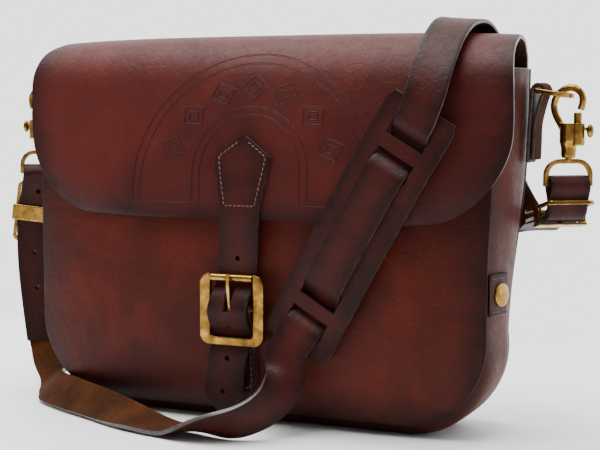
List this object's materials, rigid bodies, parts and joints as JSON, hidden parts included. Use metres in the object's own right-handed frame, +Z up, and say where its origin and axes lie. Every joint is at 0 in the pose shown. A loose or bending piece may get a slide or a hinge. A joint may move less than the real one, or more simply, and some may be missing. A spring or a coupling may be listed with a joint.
{
  "type": "mail bag",
  "caption": "Leather postal shoulder satchel: box body with an over-the-top flap, a buckled closure strap and a padded shoulder strap on snap hooks.",
  "frame": {"origin": "on the resting surface, under the middle of the bag's flat bottom", "axes": "+Z up, -Y towards the front, +X towards the right as the front is looked at"},
  "size_m": [0.5024, 0.2135, 0.3034],
  "materials": {
    "body_leather": "vegetable tanned, waxed, dark burnished edges",
    "strap_leather": "harness leather, dark brown, tan flesh side",
    "brass": "cast and drawn brass, lightly aged",
    "spring_steel": "drawn wire"
  },
  "bodies": {
    "bag": {"front_panel": "body_leather", "back_panel": "body_leather", "gusset": "body_leather", "left_gusset_patch": "body_leather", "right_gusset_patch": "body_leather", "left_patch_rivet": "brass", "right_patch_rivet": "brass", "left_ring_tab": "strap_leather", "right_ring_tab": "strap_leather", "closure_chape": "strap_leather", "shoulder_strap": "strap_leather", "left_conway_buckle": "brass", "right_conway_buckle": "brass"},
    "flap": {"flap": "body_leather", "closure_billet": "strap_leather", "shoulder_pad": "strap_leather"},
    "buckle": {"buckle_frame": "brass"},
    "roller": {"buckle_roller": "brass"},
    "prong": {"buckle_prong": "brass"},
    "left_dee": {"left_dee_ring": "brass"},
    "left_hook": {"left_snap_hook": "brass", "left_plunger_spring": "spring_steel"},
    "left_gate": {"left_plunger": "brass"},
    "left_eye": {"left_swivel_eye": "brass"},
    "right_dee": {"right_dee_ring": "brass"},
    "right_hook": {"right_snap_hook": "brass", "right_plunger_spring": "spring_steel"},
    "right_gate": {"right_plunger": "brass"},
    "right_eye": {"right_swivel_eye": "brass"}
  },
  "joints": [
    {"name": "flap_lift", "type": "hinge", "parent": "bag", "child": "flap", "pos_m": [0, 0.038, 0.272], "axis": [-1, 0, 0], "range_deg": [0, 120], "deforming": ["shoulder_strap", "closure_billet"]},
    {"name": "buckle_swing", "type": "hinge", "parent": "bag", "child": "buckle", "pos_m": [0.001, -0.0735, 0.089], "axis": [1, 0, 0], "range_deg": [-8, 8]},
    {"name": "roller_spin", "type": "hinge", "parent": "buckle", "child": "roller", "pos_m": [0.001, -0.0735, 0.1125], "axis": [1, 0, 0], "continuous": true},
    {"name": "prong_swing", "type": "hinge", "parent": "buckle", "child": "prong", "pos_m": [0, -0.0735, 0.089], "axis": [1, 0, 0], "range_deg": [0, 22]},
    {"name": "left_dee_swing", "type": "hinge", "parent": "bag", "child": "left_dee", "pos_m": [-0.20547, 0.007, 0.24969], "axis": [0, -1, 0], "range_deg": [0, 15]},
    {"name": "left_hook_level", "type": "hinge", "parent": "left_dee", "child": "left_hook", "pos_m": [-0.2275, 0.007, 0.2462], "axis": [0, -1, 0], "range_deg": [-16, 1]},
    {"name": "left_gate_slide", "type": "slide", "parent": "left_hook", "child": "left_gate", "axis": [0, 0, -1], "range_m": [0, 0.0055], "stiffness_N_per_m": 300, "springref_m": -0.002, "deforming": ["left_plunger_spring"]},
    {"name": "left_eye_swivel", "type": "hinge", "parent": "left_hook", "child": "left_eye", "pos_m": [-0.226, 0.007, 0.2], "axis": [0, 0, 1], "range_deg": [-15, 15]},
    {"name": "right_dee_swing", "type": "hinge", "parent": "bag", "child": "right_dee", "pos_m": [0.20697, 0.016, 0.24969], "axis": [0, 1, 0], "range_deg": [0, 15]},
    {"name": "right_hook_level", "type": "hinge", "parent": "right_dee", "child": "right_hook", "pos_m": [0.229, 0.016, 0.2462], "axis": [0, 1, 0], "range_deg": [-16, 1]},
    {"name": "right_gate_slide", "type": "slide", "parent": "right_hook", "child": "right_gate", "axis": [0, 0, -1], "range_m": [0, 0.0055], "stiffness_N_per_m": 300, "springref_m": -0.002, "deforming": ["right_plunger_spring"]},
    {"name": "right_eye_swivel", "type": "hinge", "parent": "right_hook", "child": "right_eye", "pos_m": [0.2275, 0.016, 0.2], "axis": [0, 0, 1], "range_deg": [-15, 15]}
  ],
  "couplings": [
    {"joint": "left_hook_level", "follows": "left_dee_swing", "ratio": -1},
    {"joint": "right_hook_level", "follows": "right_dee_swing", "ratio": -1}
  ]
}
